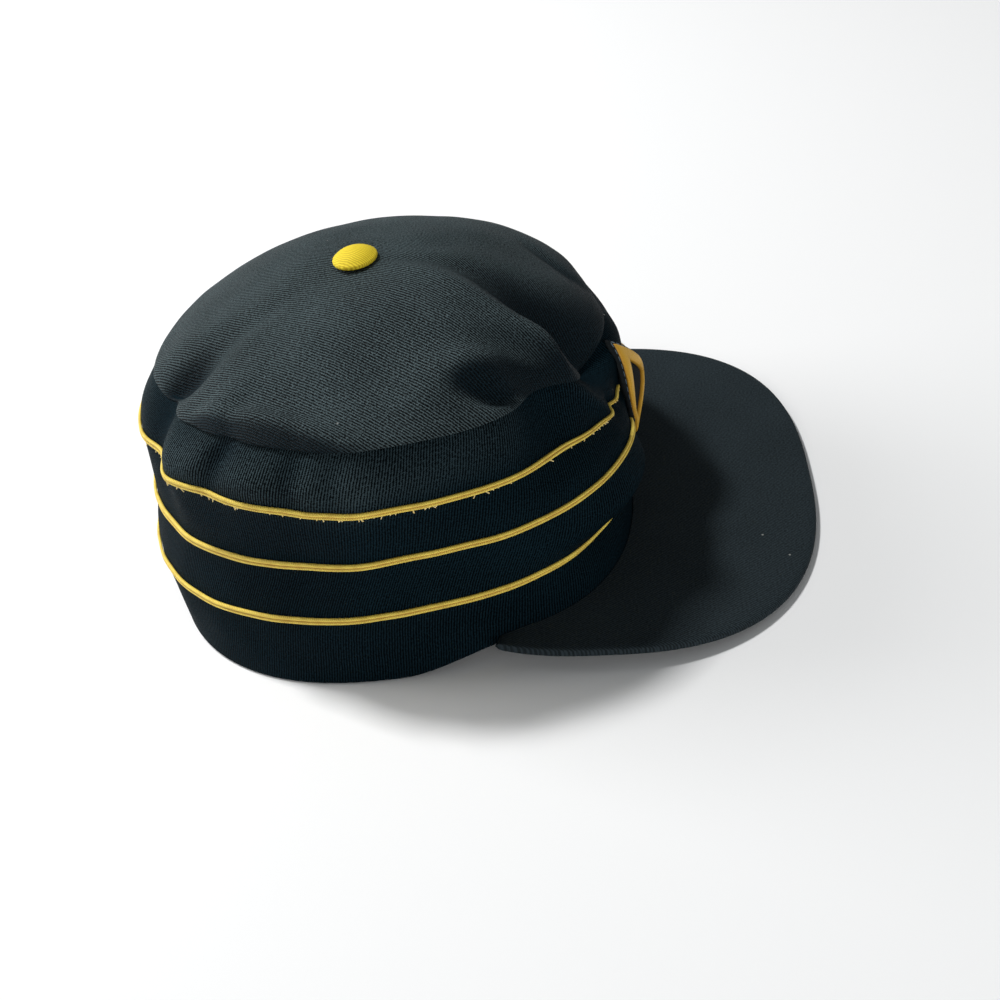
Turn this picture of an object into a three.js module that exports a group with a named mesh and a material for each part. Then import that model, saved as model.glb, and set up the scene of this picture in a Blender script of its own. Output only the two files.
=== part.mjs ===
// A soft pillbox cap: an upright cloth band, a puffed top panel, three braids, a covered button, a flat bill
// and a plain lozenge badge. Millimetres, +Z up, the bill towards -Y, the back of the rim on z = 0.
import * as THREE from 'three';

// Cloth and trim
const CLOTH = 2.0;
const GAP = 0.3;
const STRIPE_WIDTH = 2.4;
const STRIPE_THICK = 0.9;
const SEGMENTS = 72;

// Directions from the middle are in degrees: 0 front, 90 the wearer's right, 180 back, 270 the wearer's left.
// The band, from rim to seam. Each row is a ring round it: how far up the cloth it lies, its half length and
// half width, its middle, its height, how much it rises towards the back, and how square its front and back
// are (2 is an ellipse).
const RINGS = [
  { cloth: 0, long: 91.5, wide: 90.5, x: 0, y: 3, height: 0, pitch: 0, front: 2.8, back: 2.3 },
  { cloth: 28, long: 94, wide: 86.6, x: 0, y: 4, height: 28.6, pitch: -0.02, front: 2.65, back: 2.1 },
  { cloth: 51, long: 93, wide: 85.1, x: 0, y: -1, height: 51.6, pitch: -0.01, front: 2.6, back: 2.1 },
  { cloth: 74, long: 90.5, wide: 89.2, x: 1.6, y: -1.5, height: 75.8, pitch: 0.06, front: 2.05, back: 2 },
  { cloth: 97, long: 85.5, wide: 89, x: 2, y: -3.5, height: 97.8, pitch: 0.03, front: 1.95, back: 1.95 },
];
const SEAM = 97;
const ROWS_BETWEEN_TRIM = [9, 15, 21, 33.5, 38, 43.5, 59.5, 66, 82.5, 89];
const RIM_RISE_LENGTH = 50;
const RIM_RISE_HEIGHT = 28;
const FOLDS_START = 14;
const STRIPES = [
  { name: 'stripe_lower', cloth: 28 },
  { name: 'stripe_middle', cloth: 51 },
  { name: 'stripe_upper', cloth: 74 },
];

// How far the seam has slumped, by direction. The cloth starts to give way part of the way up.
const SLUMP = [
  { at: 0, drop: 19 },
  { at: 45, drop: 6 },
  { at: 90, drop: 0 },
  { at: 135, drop: 0 },
  { at: 180, drop: 7.5 },
  { at: 225, drop: 8 },
  { at: 270, drop: 14 },
  { at: 315, drop: 12 },
];
const SLUMP_START = 45;

// Soft folds of the band: where each is centred, how wide and tall it is, and how far it pushes the cloth out
const BAND_FOLDS = [
  { at: 25, cloth: 37, wide: 14, tall: 6.5, push: 8 },
  { at: -26, cloth: 36, wide: 18, tall: 9, push: 5 },
  { at: 26, cloth: 24, wide: 14, tall: 6, push: -4.5 },
  { at: 93, cloth: 55, wide: 8, tall: 40, push: 2 },
  { at: 29, cloth: 92, wide: 6, tall: 12, push: 2 },
  { at: 40, cloth: 82, wide: 6, tall: 11, push: -3 },
  { at: 119, cloth: 87, wide: 4, tall: 10, push: -1 },
  { at: 127, cloth: 87, wide: 4, tall: 10, push: 1.5 },
  { at: 134, cloth: 87, wide: 4, tall: 10, push: -2 },
  { at: 153, cloth: 97, wide: 8, tall: 14, push: -4 },
  { at: 250, cloth: 66, wide: 30, tall: 14, push: 4 },
  { at: -17, cloth: 97, wide: 14, tall: 16, push: -3 },
];

// Hollows and ridges of the top: where each is centred, its length, breadth and turn, and how far it lifts
// the cloth. They fade out towards the seam.
const TOP_FOLDS = [
  { x: -40, y: -60, long: 15, broad: 8, turn: 90, lift: -6 },
  { x: -66, y: -42, long: 16, broad: 8, turn: 60, lift: 2 },
  { x: -4, y: -76, long: 12, broad: 7, turn: 38, lift: -6 },
  { x: -26, y: -69, long: 15, broad: 4, turn: 34, lift: 2 },
  { x: -36, y: 64, long: 12, broad: 9, turn: 60, lift: -4 },
  { x: 50, y: -55, long: 16, broad: 12, turn: 40, lift: 4 },
  { x: 40, y: 36, long: 18, broad: 14, turn: 0, lift: 1.2 },
];
const TOP_FOLDS_FADE = 6;

// The top panel
const TOP_MIDDLE = { x: 0, y: -3, z: 120.5 };
const TOP_DOME = 2.2;
const TOP_ROWS = [0.95, 0.88, 0.78, 0.66, 0.53, 0.4, 0.26, 0.12];

// The bill: its outline is part of a rounded square, and it slopes down to its tip and a little to its sides.
const BILL_HALF_WIDTH = 97;
const BILL_START = -75.6;
const BILL_REACH = 82;
const BILL_SQUARE = 2.65;
const BILL_SLOPE = 0.1;
const BILL_BOW = 2.0;
const BILL_THICK = 3.4;
const BILL_END = 65;
const BILL_OUTLINE_END = 112;
const BILL_STEPS = 40;
const BILL_ROWS = [0.25, 0.5, 0.75, 0.97];
const BILL_EDGE_ROWS = [0.3, 0.7];

// The button, with an upright edge under its dome
const BUTTON_RADIUS = 8.2;
const BUTTON_HEIGHT = 4.6;
const BUTTON_EDGE = 1.4;
const BUTTON_FOOT = 7.4;
const BUTTON_SQUARE = 0.6;
const BUTTON_ROWS = 5;
const BUTTON_SIDES = 24;
const BUTTON_LIFT = 0.5;

// The badge: a lozenge frame on a backing that shows round it, set out by its height above the table. A step
// to the side turns it round the band by so many degrees a millimetre.
const BADGE = { middle: 50, halfWidth: 19, halfHeight: 20, frameWidth: 5.2, margin: 2 };
const BADGE_THICK = 1.2;
const BADGE_GAP = 0.8;
const BADGE_STEPS = 6;
const BADGE_TURN = 0.62;

// How far to each side a surface is read for its slope: in degrees, in cloth and in the top's own measure
const SLOPE_ANGLE = 0.5;
const SLOPE_CLOTH = 0.5;
const SLOPE_OUT = 0.01;

const radians = THREE.MathUtils.degToRad;

function smooth(value) {
  const t = THREE.MathUtils.clamp(value, 0, 1);
  return t * t * (3 - 2 * t);
}

function power(value, exponent) {
  return Math.sign(value) * Math.abs(value) ** exponent;
}

function turnBetween(angle, other) {
  return ((angle - other + 540) % 360) - 180;
}

function turned(x, y, angle) {
  const cos = Math.cos(radians(angle));
  const sin = Math.sin(radians(angle));
  return [x * cos + y * sin, y * cos - x * sin];
}

// One closed solid through a row of loops with the same number of points. A closed row joins its last loop to
// its first, and an open one gets a fan of faces over each end.
function loft(loops, closed) {
  const count = loops[0].length;
  const points = loops.flat();
  const faces = [];
  const steps = closed ? loops.length : loops.length - 1;
  for (let i = 0; i < steps; i += 1) {
    const here = i * count;
    const next = ((i + 1) % loops.length) * count;
    for (let j = 0; j < count; j += 1) {
      const k = (j + 1) % count;
      faces.push([here + j, here + k, next + k], [here + j, next + k, next + j]);
    }
  }
  const ends = closed ? [] : [0, (loops.length - 1) * count];
  for (const start of ends) {
    const middle = new THREE.Vector3();
    for (let j = 0; j < count; j += 1) middle.addScaledVector(points[start + j], 1 / count);
    points.push(middle);
    for (let j = 0; j < count; j += 1) {
      const edge = [start + j, start + ((j + 1) % count)];
      if (start === 0) edge.reverse();
      faces.push([...edge, points.length - 1]);
    }
  }
  const volume = faces.reduce((sum, [a, b, c]) => {
    return sum + points[a].dot(points[b].clone().cross(points[c]));
  }, 0);
  if (volume < 0) faces.forEach((face) => face.reverse());
  const geometry = new THREE.BufferGeometry().setFromPoints(points);
  geometry.setIndex(faces.flat());
  geometry.computeVertexNormals();
  return geometry;
}

// A smooth curve through one column of a table, read at a place along another column
function readRows(rows, along, place, column) {
  const last = rows.length - 1;
  let i = 0;
  while (i < last - 1 && place > rows[i + 1][along]) i += 1;
  const change = (low, high, name) => rows[high][name] - rows[low][name];
  const slope = (low, high) => change(low, high, column) / change(low, high, along);
  const span = rows[i + 1][along] - rows[i][along];
  const t = (place - rows[i][along]) / span;
  const rise = rows[i + 1][column] - rows[i][column];
  const startSlope = slope(Math.max(i - 1, 0), i + 1) * span;
  const endSlope = slope(i, Math.min(i + 2, last)) * span;
  const bend = 3 * rise - 2 * startSlope - endSlope;
  const twist = startSlope + endSlope - 2 * rise;
  return rows[i][column] + t * (startSlope + t * (bend + t * twist));
}

// The slump's table, repeated so that it runs on past the front
const SLUMP_ROUND = [-360, 0, 360].flatMap((turn) => {
  return SLUMP.map(({ at, drop }) => ({ at: at + turn, drop }));
});

function billOutline(turn) {
  const x = -BILL_HALF_WIDTH * power(Math.sin(radians(turn)), 2 / BILL_SQUARE);
  const y = BILL_START - BILL_REACH * power(Math.cos(radians(turn)), 2 / BILL_SQUARE);
  return new THREE.Vector2(x, y);
}

function billDrop(x, y) {
  return BILL_SLOPE * y - BILL_BOW * (x / BILL_HALF_WIDTH) ** 2;
}

// The bill's lowest point stands on z = 0
const BILL_LOW = Math.min(...Array.from({ length: 91 }, (_, turn) => {
  const { x, y } = billOutline(turn);
  return billDrop(x, y);
}));

function billUnderside(x, y) {
  return billDrop(x, y) - BILL_LOW;
}

function foldPush(angle, cloth) {
  return BAND_FOLDS.reduce((sum, fold) => {
    const across = turnBetween(angle, fold.at) / fold.wide;
    const along = (cloth - fold.cloth) / fold.tall;
    return sum + fold.push * Math.exp(-(across * across + along * along) / 2);
  }, 0);
}

// A point on the outside of the band: a direction, and a height up the cloth
function bandPoint(angle, cloth) {
  const ring = (column) => readRows(RINGS, 'cloth', cloth, column);
  const sin = Math.sin(radians(angle));
  const cos = Math.cos(radians(angle));
  const square = ring(cos > 0 ? 'front' : 'back');
  const across = Math.abs(sin / ring('wide')) ** square;
  const along = Math.abs(cos / ring('long')) ** square;
  const radius = (across + along) ** (-1 / square) + foldPush(angle, cloth) * smooth(cloth / FOLDS_START);
  const x = ring('x') - radius * sin;
  const y = ring('y') - radius * cos;
  const lift = smooth(-y / RIM_RISE_LENGTH) * (1 - smooth(cloth / RIM_RISE_HEIGHT));
  const give = smooth((cloth - SLUMP_START) / (SEAM - SLUMP_START));
  const slump = give * readRows(SLUMP_ROUND, 'at', angle, 'drop');
  const level = ring('height') + ring('pitch') * y;
  return new THREE.Vector3(x, y, level + lift * billUnderside(x, y) - slump);
}

// A point on the outside of the top panel: a direction, and how far out it lies (1 is the seam)
function topPoint(angle, out) {
  const seam = bandPoint(angle, SEAM);
  const { x, y, z } = TOP_MIDDLE;
  const point = new THREE.Vector3(x + (seam.x - x) * out, y + (seam.y - y) * out, 0);
  const folds = TOP_FOLDS.reduce((sum, fold) => {
    const [along, across] = turned(point.x - fold.x, point.y - fold.y, fold.turn);
    return sum + fold.lift * Math.exp(-((along / fold.long) ** 2 + (across / fold.broad) ** 2) / 2);
  }, 0);
  return point.setZ(seam.z + (z - seam.z) * (1 - out ** TOP_DOME) + folds * (1 - out ** TOP_FOLDS_FADE));
}

// The outward direction of a surface given as a function of two places
function outward(surface, u, v, stepU, stepV) {
  const alongU = surface(u + stepU, v).sub(surface(u - stepU, v));
  const alongV = surface(u, v + stepV).sub(surface(u, v - stepV));
  return alongU.cross(alongV).normalize();
}

function bandNormal(angle, cloth) {
  const inside = THREE.MathUtils.clamp(cloth, SLOPE_CLOTH, SEAM - SLOPE_CLOTH);
  return outward(bandPoint, angle, inside, SLOPE_ANGLE, SLOPE_CLOTH).negate();
}

function topNormal(angle, out) {
  return outward(topPoint, angle, Math.min(out, 1 - SLOPE_OUT), SLOPE_ANGLE, SLOPE_OUT);
}

function onBand(angle, cloth, offset) {
  return bandPoint(angle, cloth).addScaledVector(bandNormal(angle, cloth), offset);
}

const DIRECTIONS = Array.from({ length: SEGMENTS }, (_, i) => (i * 360) / SEGMENTS);

// The sewn edge between band and top: a line at a depth in the cloth, moved to one side by half the gap
function seamLine(side, depth) {
  return DIRECTIONS.map((angle) => {
    const mitre = bandNormal(angle, SEAM).add(topNormal(angle, 1)).normalize();
    const across = bandPoint(angle, SEAM).sub(bandPoint(angle, SEAM - 1));
    across.addScaledVector(mitre, -across.dot(mitre)).normalize();
    const point = bandPoint(angle, SEAM).addScaledVector(mitre, -depth);
    return point.addScaledVector(across, (side * GAP) / 2);
  });
}

function rimPoint(angle, offset) {
  const flat = bandNormal(angle, 0).setZ(0).normalize();
  return bandPoint(angle, 0).addScaledVector(flat, offset);
}

function bandSolid() {
  const edges = STRIPES.flatMap(({ cloth }) => [cloth - STRIPE_WIDTH / 2, cloth + STRIPE_WIDTH / 2]);
  const rows = [BILL_THICK, ...edges, ...ROWS_BETWEEN_TRIM].sort((a, b) => a - b);
  const ringsAt = (depth) => [
    DIRECTIONS.map((angle) => rimPoint(angle, -depth)),
    ...rows.map((cloth) => DIRECTIONS.map((angle) => onBand(angle, cloth, -depth))),
    seamLine(-1, depth),
  ];
  return loft([...ringsAt(0), ...ringsAt(CLOTH).reverse()], true);
}

function topSolid() {
  const ringsAt = (depth) => [
    seamLine(1, depth),
    ...TOP_ROWS.map((out) => DIRECTIONS.map((angle) => {
      return topPoint(angle, out).addScaledVector(topNormal(angle, out), -depth);
    })),
  ];
  return loft([...ringsAt(0).reverse(), ...ringsAt(CLOTH)], false);
}

const FRAME_INNER = 1 - BADGE.frameWidth / BADGE.halfWidth;
const BACKING_OUTER = 1 + BADGE.margin / BADGE.halfWidth;

// How far up the cloth a height above the table lies
function clothAt(angle, height) {
  let low = 0;
  let high = SEAM;
  for (let i = 0; i < 40; i += 1) {
    const middle = (low + high) / 2;
    if (bandPoint(angle, middle).z < height) low = middle;
    else high = middle;
  }
  return low;
}

// How far from the front a braid has to end to clear the badge, in degrees
function badgeEdge(cloth) {
  const height = bandPoint(BADGE.halfWidth * BADGE_TURN, cloth).z;
  const away = Math.abs(height - BADGE.middle) - STRIPE_WIDTH / 2;
  const width = BADGE.halfWidth * BACKING_OUTER * (1 - away / (BADGE.halfHeight * BACKING_OUTER));
  return width > 0 ? (width + GAP) * BADGE_TURN : 0;
}

function stripeSolid(cloth) {
  const half = STRIPE_WIDTH / 2;
  const top = GAP + STRIPE_THICK;
  const start = badgeEdge(cloth);
  const inside = DIRECTIONS.filter((angle) => angle > start && angle < 360 - start);
  const angles = start > 0 ? [start, ...inside, 360 - start] : DIRECTIONS;
  const sections = angles.map((angle) => [
    onBand(angle, cloth - half, GAP),
    onBand(angle, cloth + half, GAP),
    onBand(angle, cloth + half, top),
    onBand(angle, cloth - half, top),
  ]);
  return loft(sections, start === 0);
}

// A lozenge loop on the front of the band, so far off the cloth. The frame's edges are at 1 and its inner
// size.
function badgeLoop(size, offset) {
  const corners = [[1, 0], [0, 1], [-1, 0], [0, -1]];
  return corners.flatMap(([x, y], i) => {
    const [nextX, nextY] = corners[(i + 1) % corners.length];
    return Array.from({ length: BADGE_STEPS }, (_, step) => {
      const t = step / BADGE_STEPS;
      const angle = BADGE.halfWidth * size * THREE.MathUtils.lerp(x, nextX, t) * BADGE_TURN;
      const height = BADGE.middle + BADGE.halfHeight * size * THREE.MathUtils.lerp(y, nextY, t);
      return onBand(angle, clothAt(angle, height), offset);
    });
  });
}

function badgeBackingSolid() {
  const sizes = [FRAME_INNER / 2, FRAME_INNER, 1, BACKING_OUTER];
  const loopsAt = (offset) => sizes.map((size) => badgeLoop(size, offset));
  return loft([...loopsAt(BADGE_GAP), ...loopsAt(BADGE_GAP + BADGE_THICK).reverse()], false);
}

function badgeFrameSolid() {
  const under = BADGE_GAP + BADGE_THICK + GAP;
  const over = under + BADGE_THICK;
  return loft([
    badgeLoop(1, under),
    badgeLoop(FRAME_INNER, under),
    badgeLoop(FRAME_INNER, over),
    badgeLoop(1, over),
  ], true);
}

// The bill is ruled from the rim to its outline, with a rounded outer edge
function billSolid() {
  const sections = [];
  for (let i = 0; i <= BILL_STEPS; i += 1) {
    const along = (2 * i) / BILL_STEPS - 1;
    const low = rimPoint(along * BILL_END, GAP);
    const high = onBand(along * BILL_END, BILL_THICK, GAP);
    const edge = billOutline(along * BILL_OUTLINE_END);
    const tip = new THREE.Vector3(edge.x, edge.y, billUnderside(edge.x, edge.y));
    const tipTop = tip.clone().setZ(tip.z + BILL_THICK);
    const under = BILL_ROWS.map((t) => low.clone().lerp(tip, t));
    const over = BILL_ROWS.map((t) => high.clone().lerp(tipTop, t));
    const rounded = BILL_EDGE_ROWS.map((t) => tip.clone().lerp(tipTop, t));
    sections.push([low, ...under, ...rounded, ...over.reverse(), high]);
  }
  return loft(sections, false);
}

function buttonSolid() {
  const profile = [new THREE.Vector2(0, 0), new THREE.Vector2(BUTTON_FOOT, 0)];
  for (let i = 0; i < BUTTON_ROWS; i += 1) {
    const turn = (i / BUTTON_ROWS) * (Math.PI / 2);
    const rise = (BUTTON_HEIGHT - BUTTON_EDGE) * Math.sin(turn);
    profile.push(new THREE.Vector2(BUTTON_RADIUS * Math.cos(turn) ** BUTTON_SQUARE, BUTTON_EDGE + rise));
  }
  profile.push(new THREE.Vector2(0, BUTTON_HEIGHT));
  return new THREE.LatheGeometry(profile, BUTTON_SIDES).rotateX(Math.PI / 2);
}

const cap = new THREE.Group();

function addPiece(name, geometry, colour, roughness) {
  const material = new THREE.MeshStandardMaterial({ color: colour, roughness, metalness: 0 });
  const mesh = new THREE.Mesh(geometry, material);
  mesh.name = name;
  cap.add(mesh);
  return mesh;
}

const BLACK = 0x14181a;
const YELLOW = 0xe0a51c;
addPiece('crown_side', bandSolid(), BLACK, 0.9);
addPiece('crown_top', topSolid(), BLACK, 0.9);
for (const { name, cloth } of STRIPES) addPiece(name, stripeSolid(cloth), YELLOW, 0.6);
addPiece('bill', billSolid(), BLACK, 0.9);
const button = addPiece('button', buttonSolid(), YELLOW, 0.75);
button.position.set(TOP_MIDDLE.x, TOP_MIDDLE.y, TOP_MIDDLE.z + BUTTON_LIFT);
addPiece('emblem_backing', badgeBackingSolid(), BLACK, 0.95);
addPiece('emblem_frame', badgeFrameSolid(), YELLOW, 0.8);

// The origin is under the middle of the whole cap
const box = new THREE.Box3().setFromObject(cap, true);
const middle = box.getCenter(new THREE.Vector3());
cap.position.set(-middle.x, -middle.y, -box.min.z);

export default cap;
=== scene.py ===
"""Pillbox cap of black twill, with three yellow braids, a covered button, a flat bill and a plain badge."""
import math
from collections import namedtuple

import bmesh
import bpy
import numpy as np
from mathutils import Matrix, Quaternion, Vector, noise


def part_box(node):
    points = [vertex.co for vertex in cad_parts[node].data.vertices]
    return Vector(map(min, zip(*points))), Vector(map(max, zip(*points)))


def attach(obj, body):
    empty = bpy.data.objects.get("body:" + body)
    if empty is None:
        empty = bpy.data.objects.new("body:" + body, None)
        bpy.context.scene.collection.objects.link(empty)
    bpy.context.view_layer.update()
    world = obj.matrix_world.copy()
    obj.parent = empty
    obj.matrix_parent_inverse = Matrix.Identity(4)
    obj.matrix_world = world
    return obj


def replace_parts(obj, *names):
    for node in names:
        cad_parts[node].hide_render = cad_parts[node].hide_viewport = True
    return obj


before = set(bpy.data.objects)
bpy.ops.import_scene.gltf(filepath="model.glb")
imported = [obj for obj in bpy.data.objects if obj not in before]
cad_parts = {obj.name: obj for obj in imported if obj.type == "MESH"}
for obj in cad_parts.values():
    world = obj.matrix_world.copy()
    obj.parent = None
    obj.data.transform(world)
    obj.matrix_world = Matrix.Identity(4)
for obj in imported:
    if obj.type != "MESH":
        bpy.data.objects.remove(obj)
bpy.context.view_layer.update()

# The band of the crown: one strip of black cotton twill, sewn into a ring at the back, with a turned-up hem.
# It is soft, so it slumps towards the front, rolls over the bill in one deep fold and gathers under its top
# seam. Lengths are in mm from the middle of the head, directions in degrees: 0 front, 90 the wearer's right.
MM = 0.001
HEAD_TO_BILL_TIP = 157.6
HEAD_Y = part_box("bill")[0].y / MM + HEAD_TO_BILL_TIP
SEAM = 97.0
Ring = namedtuple("Ring", "cloth long wide x y height pitch front back")
RINGS = (
    Ring(0, 91.5, 90.5, 0, 3, 0, 0, 2.8, 2.3),
    Ring(28, 94, 86.6, 0, 4, 28.6, -0.02, 2.65, 2.1),
    Ring(51, 93, 85.1, 0, -1, 51.6, -0.01, 2.6, 2.1),
    Ring(74, 90.5, 89.2, 1.6, -1.5, 75.8, 0.06, 2.05, 2),
    Ring(97, 85.5, 89, 2, -3.5, 97.8, 0.03, 1.95, 1.95),
)
Slump = namedtuple("Slump", "at drop")
SLUMPS = (
    Slump(0, 19), Slump(45, 6), Slump(90, 0), Slump(135, 0),
    Slump(180, 7.5), Slump(225, 8), Slump(270, 14), Slump(315, 12),
)
SLUMPS_ROUND = tuple(Slump(row.at + turn, row.drop) for turn in (-360, 0, 360) for row in SLUMPS)
SLUMP_START = 45.0
RIM_RISE_LENGTH, RIM_RISE_HEIGHT = 50.0, 28.0
FOLDS_START = 14.0
BandFold = namedtuple("BandFold", "at cloth wide tall push slant sink", defaults=(0, 0))
BAND_FOLDS = (
    BandFold(25, 37, 14, 6.5, 8),
    BandFold(-26, 36, 18, 9, 5),
    BandFold(26, 24, 14, 6, -4.5),
    BandFold(93, 55, 8, 40, 2),
    BandFold(26.5, 88, 2, 9, 2.6, 0.37),
    BandFold(12, 97, 8, 6, -12, 0, 8),
    BandFold(18.5, 76, 1.8, 6, -3),
    BandFold(41, 93, 6, 13, -6),
    BandFold(250, 66, 30, 14, 4),
    BandFold(-17, 97, 14, 7, -2),
    BandFold(-20, 86, 14, 5, 3.5),
    BandFold(-20, 74, 14, 6, -4.5),
    BandFold(-22, 62, 14, 14, -4.5),
    BandFold(112, 97, 45, 7, -4),
    BandFold(112, 83, 45, 7, 1.8),
    BandFold(157, 97, 6, 9, -2.5, 0, 3.5),
    BandFold(149.5, 86, 5, 16, -5),
    BandFold(139, 78, 4, 12, 2.5),
    BandFold(130, 85, 4.5, 8, 2, -0.2),
    BandFold(123, 87, 2.4, 6.5, -3.6, -0.3),
    BandFold(113, 84, 5, 7, 1.6, -0.15),
    BandFold(103.5, 87, 2, 5, -1.8, -0.12),
    BandFold(99, 84, 2.8, 7, 1, -0.12),
    BandFold(94.5, 87, 2, 5, -1.1, -0.12),
    BandFold(90, 84, 2.8, 7, 0.8, -0.12),
)
FLAT_HALF_WIDTH, FLAT_MIDDLE, FLAT_HALF_HEIGHT, FLAT_TURN = 13, 57, 35, 4.2
WOBBLE_PUSH, WOBBLE_SIZE, WOBBLE_RADIUS = 0.45, 14.0, 90
BILL_HALF_WIDTH, BILL_START, BILL_REACH, BILL_SQUARE = 97.0, -75.6, 82.0, 2.65
BILL_SLOPE, BILL_BOW = 0.1, 2.0


def smooth(value):
    """A share from 0 to 1 that starts and ends gently."""
    value = np.clip(value, 0, 1)
    return value * value * (3 - 2 * value)


def half_turn(angle):
    """The same direction, from -180 to 180 degrees."""
    return (angle + 180) % 360 - 180


def read_rows(rows, at):
    """The columns of a table at the places given, on a smooth curve through its rows."""
    table = np.array(rows, float)
    where, values = table[:, 0], table[:, 1:]
    number = np.arange(len(where))
    before, after = np.maximum(number - 1, 0), np.minimum(number + 1, len(where) - 1)
    slopes = (values[after] - values[before]) / (where[after] - where[before])[:, None]
    row = np.clip(np.searchsorted(where, at, side="right") - 1, 0, len(where) - 2)
    span = where[row + 1] - where[row]
    t = np.clip((at - where[row]) / span, 0, 1)
    ease = t * t * (3 - 2 * t)
    leave, arrive = span * t * (1 - t) ** 2, span * t * t * (t - 1)
    parts = (1 - ease, values[row]), (ease, values[row + 1]), (leave, slopes[row]), (arrive, slopes[row + 1])
    return sum(weight[:, None] * value for weight, value in parts).T


def wobble(points, size):
    """The small unevenness of soft cloth, from -1 to 1."""
    return np.array([noise.noise(Vector(point)) for point in points / size])


def bill_outline(turn):
    """Places on the bill's outer edge, which is a squared oval."""
    sine, cosine = np.sin(np.radians(turn)), np.cos(np.radians(turn))
    power = 2 / BILL_SQUARE
    x = -BILL_HALF_WIDTH * np.sign(sine) * np.abs(sine) ** power
    return x, BILL_START - BILL_REACH * np.sign(cosine) * np.abs(cosine) ** power


def bill_drop(x, y):
    """How the bill slopes down to its tip and bows down to its sides."""
    return BILL_SLOPE * y - BILL_BOW * (x / BILL_HALF_WIDTH) ** 2


BILL_LOW = bill_drop(*bill_outline(np.arange(91))).min()


def fold_moves(angle, cloth):
    """How far the folds push the cloth out and how far they let it sink. Under the stiff badge there are no
    folds, and the cloth is turned a little to the wearer's right."""
    around = np.radians(angle)
    ring = np.stack([WOBBLE_RADIUS * np.sin(around), WOBBLE_RADIUS * np.cos(around), cloth], 1)
    push = WOBBLE_PUSH * wobble(ring, WOBBLE_SIZE)
    sink = np.zeros_like(push)
    for fold in BAND_FOLDS:
        up = cloth - fold.cloth
        across = half_turn(angle - fold.at - fold.slant * up) / fold.wide
        share = np.exp(-(across**2 + (up / fold.tall) ** 2) / 2)
        push += fold.push * share
        sink += fold.sink * share
    aside, up = half_turn(angle) / FLAT_HALF_WIDTH, (cloth - FLAT_MIDDLE) / FLAT_HALF_HEIGHT
    flat = np.exp(-(aside**4) - up**4)
    return push * smooth(cloth / FOLDS_START) * (1 - flat) - FLAT_TURN * aside * flat, sink


def band_point(angle, cloth):
    """Points on the band's outer face, at a direction and a height along the cloth."""
    long, wide, x, y, height, pitch, front, back = read_rows(RINGS, cloth)
    sine, cosine = np.sin(np.radians(angle)), np.cos(np.radians(angle))
    square = np.where(cosine > 0, front, back)
    reach = (np.abs(sine / wide) ** square + np.abs(cosine / long) ** square) ** (-1 / square)
    push, sink = fold_moves(angle, cloth)
    reach += push
    x, y = x - reach * sine, y - reach * cosine
    on_bill = smooth(-y / RIM_RISE_LENGTH) * (1 - smooth(cloth / RIM_RISE_HEIGHT))
    slump = smooth((cloth - SLUMP_START) / (SEAM - SLUMP_START)) * read_rows(SLUMPS_ROUND, angle % 360)[0]
    rise = height + pitch * y + on_bill * (bill_drop(x, y) - BILL_LOW)
    return np.stack([x, y, rise - (slump + sink)], 1)


def on_band(angle, cloth, out):
    """Points so far out from the band's outer face."""
    step = 0.25
    along = band_point(angle + step, cloth) - band_point(angle - step, cloth)
    up = band_point(angle, cloth + step) - band_point(angle, cloth - step)
    normal = np.cross(up, along)
    normal /= np.linalg.norm(normal, axis=1, keepdims=True)
    return band_point(angle, cloth) + normal * np.reshape(out, (-1, 1))


def to_frame(points):
    """Points from the middle of the head, in mm, in the row frame in metres."""
    return (points + (0, HEAD_Y, 0)) * MM


JOIN_DISTANCE = 0.001 * MM


def grid_mesh(columns, rows, place, fade=None):
    """A grid that place puts in position: it gives each point's place and its place on the flat cut, in mm.
    Edges that meet, as at a ring's seam or a disc's middle, are joined. The last function says how light each
    point's cloth is, from 0, new cloth in painted shade, to 1, well-used cloth in painted light."""
    mesh = bmesh.new()
    bmesh.ops.create_grid(mesh, x_segments=columns, y_segments=rows, size=0.5)
    mesh.verts.index_update()
    across, up = np.array([vert.co[:2] for vert in mesh.verts]).T + 0.5
    points, cut = place(across, up)
    for vert, point in zip(mesh.verts, to_frame(points)):
        vert.co = point
    layer = mesh.loops.layers.uv.new("cut")
    for face in mesh.faces:
        for loop in face.loops:
            loop[layer].uv = cut[loop.vert.index] * MM
    if fade:
        worn_and_lit = mesh.verts.layers.float.new("fade")
        for vert, value in zip(mesh.verts, fade(across, up)):
            vert[worn_and_lit] = value
    bmesh.ops.remove_doubles(mesh, verts=mesh.verts, dist=JOIN_DISTANCE)
    bmesh.ops.recalc_face_normals(mesh, faces=mesh.faces)
    return mesh


def add_piece(name, mesh, material, slot, *nodes):
    """A finished piece that rides on the cap and stands for these CAD nodes."""
    data = bpy.data.meshes.new(name)
    mesh.to_mesh(data)
    mesh.free()
    data.shade_smooth()
    data.materials.append(material)
    piece = bpy.data.objects.new(name, data)
    bpy.context.scene.collection.objects.link(piece)
    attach(piece, "root")
    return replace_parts(piece, *nodes)


def add_node(tree, kind, inputs, **settings):
    """A shader node whose sockets are set to values or joined to other nodes' outputs."""
    made = tree.nodes.new(kind)
    for name, value in settings.items():
        setattr(made, name, value)
    for socket, value in inputs.items():
        if isinstance(value, bpy.types.NodeSocket):
            tree.links.new(value, made.inputs[socket])
        else:
            made.inputs[socket].default_value = value
    return made


def work(tree, operation, *values):
    """The outcome of one step of arithmetic."""
    return add_node(tree, "ShaderNodeMath", dict(enumerate(values)), operation=operation).outputs[0]


def on_cut(tree):
    """Places on the flat cut of a piece of cloth."""
    return add_node(tree, "ShaderNodeUVMap", {}, uv_map="cut").outputs["UV"]


def mottle(tree, place, size, detail=2):
    """Even noise with patches of that size in metres."""
    inputs = {"Vector": place, "Scale": 1 / size, "Detail": detail}
    return add_node(tree, "ShaderNodeTexNoise", inputs).outputs["Fac"]


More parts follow.
